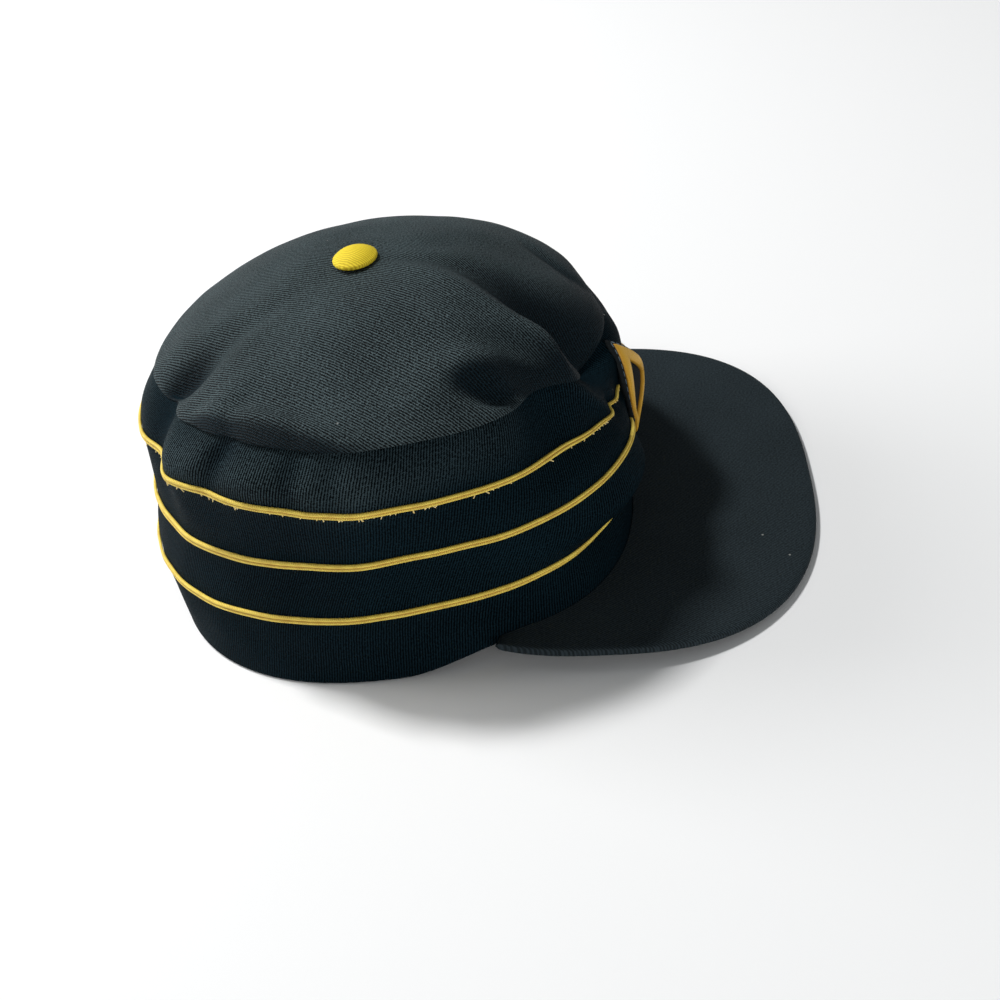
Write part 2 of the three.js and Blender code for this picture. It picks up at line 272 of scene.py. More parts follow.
def wave(tree, turns):
    """A wave from 0 to 1 for each whole turn."""
    sine = work(tree, "SINE", work(tree, "MULTIPLY", turns, 2 * math.pi))
    return work(tree, "MULTIPLY_ADD", sine, 0.5, 0.5)


def ribs(tree, place, turn, pitch, shift):
    """Waves from 0 to 1 that run at a turn from the cut's first axis, moved sideways by shift turns."""
    aside = math.radians(turn + 90)
    way = (math.cos(aside) / pitch, math.sin(aside) / pitch, 0)
    dot = add_node(tree, "ShaderNodeVectorMath", {0: place, 1: way}, operation="DOT_PRODUCT").outputs["Value"]
    return wave(tree, work(tree, "ADD", dot, shift))


def blend(tree, amount, *colours):
    """A mix of two colours, each a fixed one or another node's output."""
    first, second = (one if isinstance(one, bpy.types.NodeSocket) else (*one, 1) for one in colours)
    inputs = {"Factor": amount, 6: first, 7: second}
    return add_node(tree, "ShaderNodeMix", inputs, data_type="RGBA").outputs[2]


def cloth_material(name, shine, roughness):
    """A new material for cloth, its node tree and its shader."""
    material = bpy.data.materials.new(name)
    material.use_nodes = True
    shader = material.node_tree.nodes["Principled BSDF"]
    shader.inputs["Specular IOR Level"].default_value = shine
    shader.inputs["Roughness"].default_value = roughness
    return material, material.node_tree, shader


def finish_cloth(tree, shader, colour, height, depth):
    """Gives a cloth its colour and its relief, depth metres from the lowest to the highest."""
    tree.links.new(colour, shader.inputs["Base Color"])
    bump = add_node(tree, "ShaderNodeBump", {"Height": height, "Distance": depth, "Strength": 1.0})
    tree.links.new(bump.outputs["Normal"], shader.inputs["Normal"])


# A weave's first colour is for new, unbleached cloth and for painted shade, its second for sun-bleached,
# well-used cloth and for painted light.
Twill = namedtuple("Twill", "fresh faded shine turn pitch depth")
TWILL_ROUGHNESS = 0.62
RIB_WANDER, RIB_WANDER_SIZE = 0.8, 9 * MM
YARN_TURN, YARN_PITCH, YARN_HEIGHT = 55, 0.62, 0.3
FUZZ_SIZE, FUZZ_HEIGHT = 0.8 * MM, 2.4
PATCH_SIZE, PATCH_SHADE = 30 * MM, 0.6
SHADE_CONTRAST, SHADE_SHIFT = 1.7, -3.205
LINT_SPACING, LINT_SIZE, LINT_RARITY, LINT_COLOUR = 13 * MM, 0.03, 0.8, (0.25, 0.26, 0.25)


def twill(name, weave):
    """Twill cloth: ribs on the slant, crossed by finer yarns, lighter and darker in random patches, with some
    lint on it, and with painted light and shade mixed in from a mesh attribute.
    """
    material, tree, shader = cloth_material(name, weave.shine, TWILL_ROUGHNESS)
    cut = on_cut(tree)
    wander = mottle(tree, cut, RIB_WANDER_SIZE)
    rib = ribs(tree, cut, weave.turn, weave.pitch, work(tree, "MULTIPLY", wander, RIB_WANDER))
    yarn = ribs(tree, cut, weave.turn + YARN_TURN, YARN_PITCH * weave.pitch, wander)
    fuzzy_rib = work(tree, "MULTIPLY_ADD", mottle(tree, cut, FUZZ_SIZE), FUZZ_HEIGHT, rib)
    height = work(tree, "MULTIPLY_ADD", yarn, YARN_HEIGHT, fuzzy_rib)
    patchy = work(tree, "MULTIPLY_ADD", mottle(tree, cut, PATCH_SIZE), PATCH_SHADE, height)
    # Painted shade: the colour is darker where ribs, yarns and fuzz are low, partly their own tone and partly
    # shade down in the grooves.
    shade = work(tree, "MULTIPLY_ADD", patchy, SHADE_CONTRAST, SHADE_SHIFT)
    # A mesh attribute mixes the two colours: wear together with painted light on high, level cloth and
    # painted shade in hollows, on steep slopes and low down.
    worn_and_lit = add_node(tree, "ShaderNodeAttribute", {}, attribute_name="fade").outputs["Fac"]
    cloth = blend(tree, worn_and_lit, blend(tree, shade, *weave.fresh), blend(tree, shade, *weave.faded))
    specks = add_node(tree, "ShaderNodeTexVoronoi", {"Vector": cut, "Scale": 1 / LINT_SPACING}).outputs
    kind = add_node(tree, "ShaderNodeSeparateColor", {0: specks["Color"]}).outputs[0]
    near = work(tree, "LESS_THAN", specks["Distance"], LINT_SIZE)
    lint = work(tree, "MULTIPLY", near, work(tree, "GREATER_THAN", kind, LINT_RARITY))
    finish_cloth(tree, shader, blend(tree, lint, cloth, LINT_COLOUR), height, weave.depth)
    return material


BAND_COLUMNS, BAND_ROWS = 480, 150
BAND_CUT = (578.0, 99.0)
# Between these heights, and with its folds, the band goes from dark to light: partly wear, partly painted
# light and painted shade.
BAND_FADE_AND_SHADE_LOW, BAND_FADE_AND_SHADE_HIGH, BAND_FADE_AND_SHADE_BY_FOLD = 70, 120, 3
SEAM_TUCK, SEAM_TUCK_HEIGHT = 1.2, 1.8
Section = namedtuple("Section", "share along depth")
BAND_SECTION = (
    Section(0, 1, 0), Section(0.62, 96, 0), Section(0.64, 96.7, 0.3), Section(0.65, 97, 1),
    Section(0.66, 96.7, 1.7), Section(0.68, 96, 2), Section(0.95, 1, 2), Section(0.965, 0.3, 1.7),
    Section(0.975, 0, 1), Section(0.985, 0.3, 0.3), Section(1, 1, 0),
)


def read_section(section, share):
    """How far along and how deep in the cloth a point is that goes round a section."""
    table = np.array(section)
    return np.interp(share, table[:, 0], table[:, 1]), np.interp(share, table[:, 0], table[:, 2])


def place_band(around, up):
    """Up the outer face, over the seam, down the inner face and round the hem, never below the table."""
    cloth, depth = read_section(BAND_SECTION, up)
    tuck = SEAM_TUCK * np.exp(-(((SEAM - cloth) / SEAM_TUCK_HEIGHT) ** 2) / 2)
    points = on_band(180 + 360 * around, cloth, -depth - tuck)
    points[:, 2] = np.maximum(points[:, 2], 0)
    return points, np.stack([around * BAND_CUT[0], cloth], 1)


def band_fade_and_shade(around, up):
    """How light the band is, from 0 to 1: lighter towards its shoulder and on the crests of its folds, darker
    towards the hem and in the hollows between them, which is partly wear and partly painted light and painted
    shade.
    """
    angle, cloth = 180 + 360 * around, read_section(BAND_SECTION, up)[0]
    height = band_point(angle, cloth)[:, 2] + BAND_FADE_AND_SHADE_BY_FOLD * fold_moves(angle, cloth)[0]
    return smooth((height - BAND_FADE_AND_SHADE_LOW) / (BAND_FADE_AND_SHADE_HIGH - BAND_FADE_AND_SHADE_LOW))


# Dark new twill where the cloth is in painted shade, pale sun-bleached twill where it is well used and in
# painted light.
BLACK_FRESH_SHADED = (0.0004, 0.0018, 0.0027), (0.006, 0.018, 0.026)
BLACK_FADED_LIT = (0.001, 0.002, 0.0025), (0.082, 0.116, 0.125)
BAND_WEAVE = Twill(BLACK_FRESH_SHADED, BLACK_FADED_LIT, shine=0.02, turn=104, pitch=0.98 * MM, depth=0.2 * MM)
band_mesh = grid_mesh(BAND_COLUMNS, BAND_ROWS, place_band, band_fade_and_shade)
band = add_piece("crown_side_cloth", band_mesh, twill("band_twill", BAND_WEAVE), "black_twill", "crown_side")

# The top of the crown: a round panel of the same twill, sewn to the band with its edge rolled out over the
# seam. It is cut full, so it puffs up round the button and falls into creases over the bill.
TOP_COLUMNS, TOP_ROWS = 420, 140
TOP_MIDDLE = np.array([0, -3, 120.5])
TOP_DOME, TOP_FOLDS_FADE = 2.2, 20
TopFold = namedtuple("TopFold", "x y long left right turn lift crisp", defaults=(False,))
TOP_FOLDS = (
    TopFold(-54.8, -56.7, 18.3, 4.9, 14.6, 110, 9),
    TopFold(-61.7, -50, 7.5, 2.8, 2.6, 101, -9),
    TopFold(-43, -61, 17, 3.6, 5, 105, -3.5),
    TopFold(-54, -66, 9, 3, 4.5, 112, -9),
    TopFold(-36, -72, 12, 7, 2.4, 42, 6.5, True),
    TopFold(-17, -73, 13, 7, 10, 70, -8),
    TopFold(-20, -42, 17, 16, 14.4, 23, 5.9),
    TopFold(31, -71, 9, 2.5, 2.5, 64, -2.5),
    TopFold(50, -55, 16, 12, 12, 40, 1),
    TopFold(-28, 65, 13, 11, 4.5, 106, -7.5),
    TopFold(-60.5, -12.4, 16.5, 12, 10.8, 97, -2.2),
    TopFold(-74.4, 24, 26, 8.2, 4, 66, 7),
    TopFold(-62, 46, 12, 5, 5, 121, 2),
    TopFold(10, 46, 24.5, 14.6, 14, 7.5, -3),
    TopFold(-21.8, 21.3, 21.7, 14.2, 14, 8, -2.5),
)
CRISP_EDGE = 0.2
TOP_SECTION = (
    Section(0, 0, 0), Section(0.62, 0.97, -0.6), Section(0.64, 0.985, -0.4), Section(0.655, 0.997, 0.1),
    Section(0.665, 1, 0.6), Section(0.675, 0.997, 1.1), Section(0.69, 0.985, 1.4), Section(1, 0, 2),
)
TOP_WOBBLE_LIFT, TOP_WOBBLE_SIZE = 0.5, 17.0
# The top is light where it is high and level, partly from wear and partly painted light, and dark with
# painted shade where it is low, steep or hollow.
TOP_FADE_AND_SHADE_LOW, TOP_FADE_AND_SHADE_HIGH, TOP_FADE_AND_SHADE_BY_FOLD = 74, 97, 2.5
TOP_FADE_AND_SHADE_STEEP, TOP_FADE_AND_SHADE_LEVEL = 0.5, 0.86
NO_AREA = 1e-6


def top_lift(x, y):
    """How far the folds lift the top."""
    lift = TOP_WOBBLE_LIFT * wobble(np.stack([x, y, 0 * x], 1), TOP_WOBBLE_SIZE)
    for fold in TOP_FOLDS:
        cosine, sine = math.cos(math.radians(fold.turn)), math.sin(math.radians(fold.turn))
        along = ((x - fold.x) * cosine + (y - fold.y) * sine) / fold.long
        across = (y - fold.y) * cosine - (x - fold.x) * sine
        across = across / np.where(across > 0, fold.left, fold.right)
        beside = np.sqrt(across**2 + CRISP_EDGE**2) - CRISP_EDGE if fold.crisp else across**2 / 2
        lift += fold.lift * np.exp(-(along**2) / 2 - beside)
    return lift


def top_point(angle, out):
    """Points on the top's outer face, at a direction and a share of the way from the middle to the seam."""
    rim = band_point(angle, np.full_like(angle, SEAM))
    x, y = (TOP_MIDDLE[:2] + (rim[:, :2] - TOP_MIDDLE[:2]) * out[:, None]).T
    rise = (TOP_MIDDLE[2] - rim[:, 2]) * (1 - out**TOP_DOME)
    return np.stack([x, y, rim[:, 2] + rise + top_lift(x, y) * (1 - out**TOP_FOLDS_FADE)], 1)


def top_rings(points):
    """The top's points, ring by ring."""
    return points.reshape(TOP_ROWS + 1, TOP_COLUMNS + 1, 3)


def place_top(around, out):
    """Out over the upper face, round the rolled edge and back under it. The cut is as long as the cloth."""
    share, depth = read_section(TOP_SECTION, out)
    points = top_point(360 * around, share) - np.stack([0 * depth, 0 * depth, depth], 1)
    rings = top_rings(points)
    steps = np.linalg.norm(np.diff(rings, axis=0, prepend=rings[:1]), axis=2)
    run = np.cumsum(steps, axis=0).ravel()
    turn = 2 * math.pi * around
    return points, np.stack([-run * np.sin(turn), -run * np.cos(turn)], 1)


def top_fade_and_shade(around, out):
    """How light the top is, from 0 to 1: light all over, partly from wear and partly painted light, but dark
    with painted shade on the steep sides of its folds and low over the bill.
    """
    points = top_point(360 * around, read_section(TOP_SECTION, out)[0])
    rings = top_rings(points)
    normals = np.cross(np.gradient(rings, axis=0), np.gradient(rings, axis=1)).reshape(-1, 3)
    level = np.abs(normals[:, 2]) / np.maximum(np.linalg.norm(normals, axis=1), NO_AREA)
    height = points[:, 2] + TOP_FADE_AND_SHADE_BY_FOLD * top_lift(points[:, 0], points[:, 1])
    high = smooth((height - TOP_FADE_AND_SHADE_LOW) / (TOP_FADE_AND_SHADE_HIGH - TOP_FADE_AND_SHADE_LOW))
    return high * smooth((level - TOP_FADE_AND_SHADE_STEEP) / (TOP_FADE_AND_SHADE_LEVEL - TOP_FADE_AND_SHADE_STEEP))


TOP_WEAVE = Twill(BLACK_FRESH_SHADED, BLACK_FADED_LIT, shine=0.1, turn=55, pitch=0.98 * MM, depth=0.3 * MM)
top_mesh = grid_mesh(TOP_COLUMNS, TOP_ROWS, place_top, top_fade_and_shade)
top = add_piece("crown_top_cloth", top_mesh, twill("top_twill", TOP_WEAVE), "black_twill", "crown_top")

# The badge at the front of the band: a lozenge of black felt sewn on with a pale thread round its edge, with
# a plain frame of yellow satin stitch on it. It is stiffer than the band, so it bends evenly over it.
BADGE_MIDDLE, BADGE_HALF_WIDTH, BADGE_HALF_HEIGHT = 50.0, 19.0, 20.0
BADGE_FRAME_WIDTH, BADGE_MARGIN = 7.0, 2.0
BADGE_THICK, BADGE_GAP, BADGE_TURN = 1.2, 0.8, 0.62
BADGE_BEND, BADGE_BEND_POINTS = 3, 25
FRAME_INNER = 1 - BADGE_FRAME_WIDTH / BADGE_HALF_WIDTH
FRAME_SINK, FRAME_THICK, FRAME_ROUND = 0.3, 1.8, 0.35
FRAME_COLUMNS, FRAME_ROWS = 160, 20
BACKING_OUTER = 1 + BADGE_MARGIN / BADGE_HALF_WIDTH
BACKING_COLUMNS, BACKING_ROWS = 96, 28
SEW_GAP = 0.3
HALVINGS = 24


def cloth_at(angle, height):
    """How far up the cloth a height above the table lies."""
    low, high = np.zeros_like(angle), np.full_like(angle, SEAM)
    for _ in range(HALVINGS):
        middle = (low + high) / 2
        below = band_point(angle, middle)[:, 2] < height
        low, high = np.where(below, middle, low), np.where(below, high, middle)
    return low


def under_badge(aside, rise):
    """Where on the cloth a place on the lozenge lies, which has its corners at 1 and -1."""
    angle = BADGE_HALF_WIDTH * BADGE_TURN * aside
    return angle, cloth_at(angle, BADGE_MIDDLE + BADGE_HALF_HEIGHT * rise)


def bend(aside, rise):
    """The terms of a sheet that bends gently each way."""
    powers = ((across, up) for across in range(BADGE_BEND + 1) for up in range(BADGE_BEND + 1 - across))
    return np.stack([aside**across * rise**up for across, up in powers], 1)


def bend_to_cloth():
    """How much of each term brings the badge closest to the cloth under it."""
    spread = np.linspace(-BACKING_OUTER, BACKING_OUTER, BADGE_BEND_POINTS)
    aside, rise = (grid.ravel() for grid in np.meshgrid(spread, spread))
    inside = np.abs(aside) + np.abs(rise) <= BACKING_OUTER
    place = aside[inside], rise[inside]
    return np.linalg.lstsq(bend(*place), band_point(*under_badge(*place))[:, :2], rcond=None)[0]


badge_bend = bend_to_cloth()


def on_badge(aside, rise, out):
    """Points so far out from the cloth, at a place on the lozenge."""
    x, y = (bend(aside, rise) @ badge_bend).T
    return np.stack([x, y - out, BADGE_MIDDLE + BADGE_HALF_HEIGHT * rise], 1)


BACKING_SECTION = (
    Section(0, 0, 1), Section(0.43, 0.97, 1), Section(0.47, 0.993, 0.8), Section(0.5, 1, 0.5),
    Section(0.53, 0.993, 0.2), Section(0.57, 0.97, 0), Section(1, 0, 0),
)


def lozenge(around):
    """A place on the lozenge's edge, once round it."""
    corners = np.array([(1, 0), (0, 1), (-1, 0), (0, -1), (1, 0)])
    return tuple(np.interp(around * 4, np.arange(5), column) for column in corners.T)


def place_backing(around, up):
    """Out over the face, round the edge and back along the cloth."""
    size, thick = read_section(BACKING_SECTION, up)
    aside, rise = (edge * size for edge in lozenge(around))
    place = aside * BACKING_OUTER, rise * BACKING_OUTER
    back, face = on_band(*under_badge(*place), SEW_GAP), on_badge(*place, BADGE_GAP + BADGE_THICK)
    points = back + (face - back) * thick[:, None]
    return points, np.stack([aside * BADGE_HALF_WIDTH, rise * BADGE_HALF_HEIGHT], 1)


def place_frame(around, up):
    """Over the padded stitches from the frame's inner edge to its outer one, and back inside the felt."""
    turn = 2 * math.pi * up
    size = (1 + FRAME_INNER) / 2 - (1 - FRAME_INNER) / 2 * np.cos(turn)
    aside, rise = lozenge(around)
    lift = np.maximum(0, np.sin(turn)) ** FRAME_ROUND
    out = BADGE_GAP + BADGE_THICK - FRAME_SINK + FRAME_THICK * lift
    edge = 4 * math.hypot(BADGE_HALF_WIDTH, BADGE_HALF_HEIGHT)
    return on_badge(aside * size, rise * size, out), np.stack([around * edge, up], 1)


FELT_FUZZ_SIZE, FELT_DEPTH = 0.6 * MM, 0.3 * MM
STITCH_LINE, STITCH_HALF_WIDTH, STITCHES, STITCH_GAP = 0.955, 0.016, 11, -0.4


def sewn_felt(name, dark, light, thread):
    """Felt with a line of short stitches just inside the lozenge's edge."""
    material, tree, shader = cloth_material(name, shine=0.1, roughness=0.9)
    cut = on_cut(tree)
    fuzz = mottle(tree, cut, FELT_FUZZ_SIZE, detail=3)
    aside, rise = add_node(tree, "ShaderNodeSeparateXYZ", {0: cut}).outputs[:2]
    aside = work(tree, "ABSOLUTE", work(tree, "DIVIDE", aside, BADGE_HALF_WIDTH * MM))
    rise = work(tree, "ABSOLUTE", work(tree, "DIVIDE", rise, BADGE_HALF_HEIGHT * MM))
    away = work(tree, "ABSOLUTE", work(tree, "SUBTRACT", work(tree, "ADD", aside, rise), STITCH_LINE))
    turns = work(tree, "MULTIPLY", work(tree, "SUBTRACT", aside, rise), math.pi * STITCHES)
    stitch = work(tree, "GREATER_THAN", work(tree, "SINE", turns), STITCH_GAP)
    sewn = work(tree, "MULTIPLY", stitch, work(tree, "LESS_THAN", away, STITCH_HALF_WIDTH))
    colour = blend(tree, sewn, blend(tree, fuzz, dark, light), thread)
    finish_cloth(tree, shader, colour, fuzz, FELT_DEPTH)
    return material


SATIN_WANDER_SIZE, SATIN_PITCH, SATIN_DEPTH = 4 * MM, 0.55 * MM, 0.12 * MM
# The stitches' own light and dark, and how far the painted shade at the strip's edges reaches in.
SATIN_LIGHT, SATIN_DARK, SATIN_ROUND = 0.4, 0.6, 0.5


def satin_stitch(name, dark, light):
    """Stitches side by side across a padded strip, with painted shade where they go down at its edges."""
    material, tree, shader = cloth_material(name, shine=0.4, roughness=0.5)
    cut = on_cut(tree)
    stitch = ribs(tree, cut, 90, SATIN_PITCH, mottle(tree, cut, SATIN_WANDER_SIZE))
    up = add_node(tree, "ShaderNodeSeparateXYZ", {0: cut}).outputs[1]
    # Painted shade: the stitches darken towards the strip's edges, where it rounds down into the felt.
    painted_edge_shade = work(tree, "MAXIMUM", work(tree, "SINE", work(tree, "MULTIPLY", up, 2 * math.pi / MM)), 0)
    thread = work(tree, "MULTIPLY_ADD", stitch, SATIN_LIGHT, SATIN_DARK)
    shade = work(tree, "MULTIPLY", thread, work(tree, "POWER", painted_edge_shade, SATIN_ROUND))
    finish_cloth(tree, shader, blend(tree, shade, dark, light), stitch, SATIN_DEPTH)
    return material


BADGE_BLACK, BADGE_THREAD = ((0.004, 0.005, 0.006), (0.014, 0.017, 0.018)), (0.16, 0.21, 0.24)
BADGE_YELLOW = (0.36, 0.13, 0.004), (1.0, 0.58, 0.035)
backing_mesh = grid_mesh(BACKING_COLUMNS, BACKING_ROWS, place_backing)
backing_felt = sewn_felt("badge_felt", *BADGE_BLACK, BADGE_THREAD)
backing = add_piece("emblem_backing_felt", backing_mesh, backing_felt, "black_felt", "emblem_backing")
frame_mesh = grid_mesh(FRAME_COLUMNS, FRAME_ROWS, place_frame)
frame_stitch = satin_stitch("badge_stitch", *BADGE_YELLOW)
add_piece("emblem_frame_stitch", frame_mesh, frame_stitch, "yellow_felt", "emblem_frame")

# The braids: flat soutache in two ribs over cotton cores, of golden yellow rayon, sewn round the band by the
# groove between the ribs. The lower one goes right round and the others end at the badge.
BRAID_HALF_WIDTH, BRAID_THICK, BRAID_GAP = 1.35, 1.1, 0.15
BRAID_COLUMNS, BRAID_ROWS = 700, 20
BRAID_END_TAPER = 0.002
BRAIDS = {"stripe_lower": 28.0, "stripe_middle": 51.0, "stripe_upper": 74.0}


def braid_start(cloth):
    """How far from the front a braid ends to clear the badge, in degrees."""
    place = np.array([BADGE_HALF_WIDTH * BADGE_TURN]), np.array([cloth])
    away = abs(band_point(*place)[0, 2] - BADGE_MIDDLE) - BRAID_HALF_WIDTH
    width = BADGE_HALF_WIDTH * BACKING_OUTER * (1 - away / (BADGE_HALF_HEIGHT * BACKING_OUTER))
    return (width + SEW_GAP) * BADGE_TURN if width > 0 else 0


def place_braid(cloth):
    """Along the band at that height, and round the two ribs and the flat back, with ends that taper."""
    start = braid_start(cloth)

    def place(along, around):
        turn = 2 * math.pi * around
        side, over = -np.cos(turn), np.maximum(0, np.sin(turn))
        rib = np.sqrt(np.maximum(0, 1 - (2 * np.abs(side) - 1) ** 2))
        out = np.where(over > 0, BRAID_THICK / 2 * (rib + np.sqrt(over)), 0.0)
        full = np.minimum(1, np.minimum(along, 1 - along) / BRAID_END_TAPER) if start else np.ones_like(along)
        angle = start + (360 - 2 * start) * along
        points = on_band(angle, cloth + side * BRAID_HALF_WIDTH * full, BRAID_GAP + out * full)
        return points, np.stack([along * BAND_CUT[0], side * BRAID_HALF_WIDTH], 1)

    return place


THREAD_SLANT, THREAD_PITCH, THREAD_SHADE, THREAD_DEPTH = -0.8, 0.8 * MM, 0.35, 0.12 * MM
# Painted shade in the groove between the braid's ribs: how wide it is and how dark it gets in the middle.
GROOVE_HALF_WIDTH, GROOVE_SHADE = 0.5 * MM, 0.15
BRAID_WEAR_SIZE, BRAID_WEAR_SHADE, BRAID_SHADE = 6 * MM, 0.8, 0.25


def braid_rayon(name, dark, light):
    """Two ribs whose threads slant away from the groove between them, with painted shade darkening the
    groove.
    """
    material, tree, shader = cloth_material(name, shine=0.3, roughness=0.5)
    cut = on_cut(tree)
    along, aside = add_node(tree, "ShaderNodeSeparateXYZ", {0: cut}).outputs[:2]
    away = work(tree, "ABSOLUTE", aside)
    slant = work(tree, "MULTIPLY_ADD", away, THREAD_SLANT, along)
    thread = wave(tree, work(tree, "DIVIDE", slant, THREAD_PITCH))
    # Painted shade: darker towards the middle of the groove.
    groove = work(tree, "MULTIPLY_ADD", away, 1 / GROOVE_HALF_WIDTH, GROOVE_SHADE)
    wear = work(tree, "MULTIPLY_ADD", mottle(tree, cut, BRAID_WEAR_SIZE), BRAID_WEAR_SHADE, BRAID_SHADE)
    lit = work(tree, "MULTIPLY_ADD", thread, THREAD_SHADE, wear)
    shade = work(tree, "MULTIPLY", lit, work(tree, "MINIMUM", groove, 1))
    finish_cloth(tree, shader, blend(tree, shade, dark, light), thread, THREAD_DEPTH)
    return material


BRAID_YELLOW = (0.4, 0.13, 0.004), (1.0, 0.77, 0.13)
braid_yellow = braid_rayon("braid_yellow", *BRAID_YELLOW)
for braid_name, braid_cloth in BRAIDS.items():
    braid_mesh = grid_mesh(BRAID_COLUMNS, BRAID_ROWS, place_braid(braid_cloth))
    add_piece(braid_name + "_braid", braid_mesh, braid_yellow, "yellow_braid", braid_name)

# The fray: the lower edge of the upper braid has worn, and short ends of its cotton core stand out all along
# it. Each one is a short round end of yarn that hangs down the band.
FRAY_SEED, FRAY_COUNT = 5, 190
FRAY_LENGTH, FRAY_SHORTEST, FRAY_RADIUS, FRAY_STEPS = 1.5, 0.3, 0.2, 4
FRAY_MARGIN, FRAY_LEAN = 1, 0.8
FRAY_ROOT_UP, FRAY_ROOT_OUT, FRAY_IN, FRAY_OUT = 0.3, 0.5, -0.1, 0.5
FRAY_YELLOW = (0.62, 0.42, 0.09), (1.0, 0.9, 0.55)
FRAY_FUZZ_SIZE, FRAY_DEPTH = 1.5 * MM, 0.05 * MM


def fray_cotton(name, dark, light):
    """Bare cotton yarn, paler than the rayon that covered it."""
    material, tree, shader = cloth_material(name, shine=0.2, roughness=0.8)
    place = add_node(tree, "ShaderNodeTexCoord", {}).outputs["Object"]
    fuzz = mottle(tree, place, FRAY_FUZZ_SIZE)
    finish_cloth(tree, shader, blend(tree, fuzz, dark, light), fuzz, FRAY_DEPTH)
    return material


chance = np.random.default_rng(FRAY_SEED)
fray_data = bpy.data.curves.new("stripe_upper_fray", "CURVE")
fray_data.dimensions, fray_data.use_fill_caps = "3D", True
fray_data.bevel_depth, fray_data.bevel_resolution = FRAY_RADIUS * MM, 1
fray_start = braid_start(BRAIDS["stripe_upper"]) + FRAY_MARGIN
for angle in fray_start + (360 - 2 * fray_start) * chance.random(FRAY_COUNT):
    length, lean = FRAY_LENGTH * chance.uniform(FRAY_SHORTEST, 1), chance.uniform(-FRAY_LEAN, FRAY_LEAN)
    down = length * np.linspace(0, 1, FRAY_STEPS)
    cloth = BRAIDS["stripe_upper"] - BRAID_HALF_WIDTH + FRAY_ROOT_UP - down
    out = FRAY_ROOT_OUT + chance.uniform(FRAY_IN, FRAY_OUT) * down
    strand = fray_data.splines.new("POLY")
    strand.points.add(FRAY_STEPS - 1)
    for point, place in zip(strand.points, to_frame(on_band(angle + lean * down, cloth, out))):
        point.co = (*place, 1)
fray_data.materials.append(fray_cotton("fray_yarn", *FRAY_YELLOW))
fray = bpy.data.objects.new("stripe_upper_fray", fray_data)
bpy.context.scene.collection.objects.link(fray)
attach(fray, "root")

# The button: a domed metal form covered in yellow twill, sewn on at the middle of the top. The cover is
# pulled tight over the rim of the form and gathered under it.
BUTTON_RADIUS, BUTTON_EDGE, BUTTON_DOME, BUTTON_DOME_ROUND = 8.2, 1.9, 2.7, 0.8
BUTTON_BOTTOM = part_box("button")[0].z / MM
BUTTON_RIM, BUTTON_FOOT = 0.7, 1.4
BUTTON_STEPS, BUTTON_RIM_STEPS, BUTTON_DOME_STEPS = 96, 5, 14
BUTTON_PLEATS, BUTTON_PLEAT, BUTTON_PLEAT_FADE = 26, 0.1, 6


def button_profile():
    """Points from the foot round the rim to the top of the dome: distance from the middle and height."""
    dome_radius = BUTTON_RADIUS - BUTTON_RIM
    yield 0.0, 0.0
    yield BUTTON_RADIUS - BUTTON_FOOT, 0.0
    for step in range(BUTTON_RIM_STEPS + 1):
        turn = math.pi * step / BUTTON_RIM_STEPS - math.pi / 2
        yield dome_radius + BUTTON_RIM * math.cos(turn), BUTTON_EDGE / 2 * (1 + math.sin(turn))
    for step in range(1, BUTTON_DOME_STEPS + 1):
        out = dome_radius * (1 - step / BUTTON_DOME_STEPS)
        yield out, BUTTON_EDGE + BUTTON_DOME * (1 - (out / dome_radius) ** 2) ** BUTTON_DOME_ROUND


button_middle = to_frame(np.array([TOP_MIDDLE[0], TOP_MIDDLE[1], BUTTON_BOTTOM]))
button_mesh = bmesh.new()
line = [button_mesh.verts.new(button_middle + (out * MM, 0, up * MM)) for out, up in button_profile()]
line_edges = [button_mesh.edges.new(pair) for pair in zip(line, line[1:])]
bmesh.ops.spin(
    button_mesh, geom=line + line_edges, cent=button_middle, axis=(0, 0, 1), angle=2 * math.pi,
    steps=BUTTON_STEPS, use_merge=True,
)
bmesh.ops.remove_doubles(button_mesh, verts=button_mesh.verts, dist=JOIN_DISTANCE)
bmesh.ops.recalc_face_normals(button_mesh, faces=button_mesh.faces)
for vert in button_mesh.verts:
    offset = vert.co - Vector(button_middle)
    share = (offset.xy.length / (BUTTON_RADIUS * MM)) ** BUTTON_PLEAT_FADE
    pleat = BUTTON_PLEAT * MM * share * math.cos(BUTTON_PLEATS * math.atan2(offset.y, offset.x))
    vert.co += offset.normalized() * pleat

BUTTON_WANDER_SIZE, BUTTON_FUZZ_SIZE = 3 * MM, 0.35 * MM
BUTTON_RIB_TURN, BUTTON_RIB_PITCH, BUTTON_RIB_DEPTH = 60, 0.8 * MM, 0.1 * MM
BUTTON_RIB_HEIGHT, BUTTON_FUZZ_HEIGHT = 0.7, 0.5


def button_twill(name, dark, light):
    """Fine twill, stretched over the form."""
    material, tree, shader = cloth_material(name, shine=0.2, roughness=0.7)
    place = add_node(tree, "ShaderNodeTexCoord", {}).outputs["Object"]
    wander = mottle(tree, place, BUTTON_WANDER_SIZE)
    rib = ribs(tree, place, BUTTON_RIB_TURN, BUTTON_RIB_PITCH, wander)
    low_rib = work(tree, "MULTIPLY", rib, BUTTON_RIB_HEIGHT)
    height = work(tree, "MULTIPLY_ADD", mottle(tree, place, BUTTON_FUZZ_SIZE), BUTTON_FUZZ_HEIGHT, low_rib)
    finish_cloth(tree, shader, blend(tree, height, dark, light), height, BUTTON_RIB_DEPTH)
    return material


BUTTON_YELLOW = (0.55, 0.35, 0.01), (1.0, 0.79, 0.045)
button_yellow = button_twill("button_yellow", *BUTTON_YELLOW)
add_piece("button_cover", button_mesh, button_yellow, "button_cloth", "button")

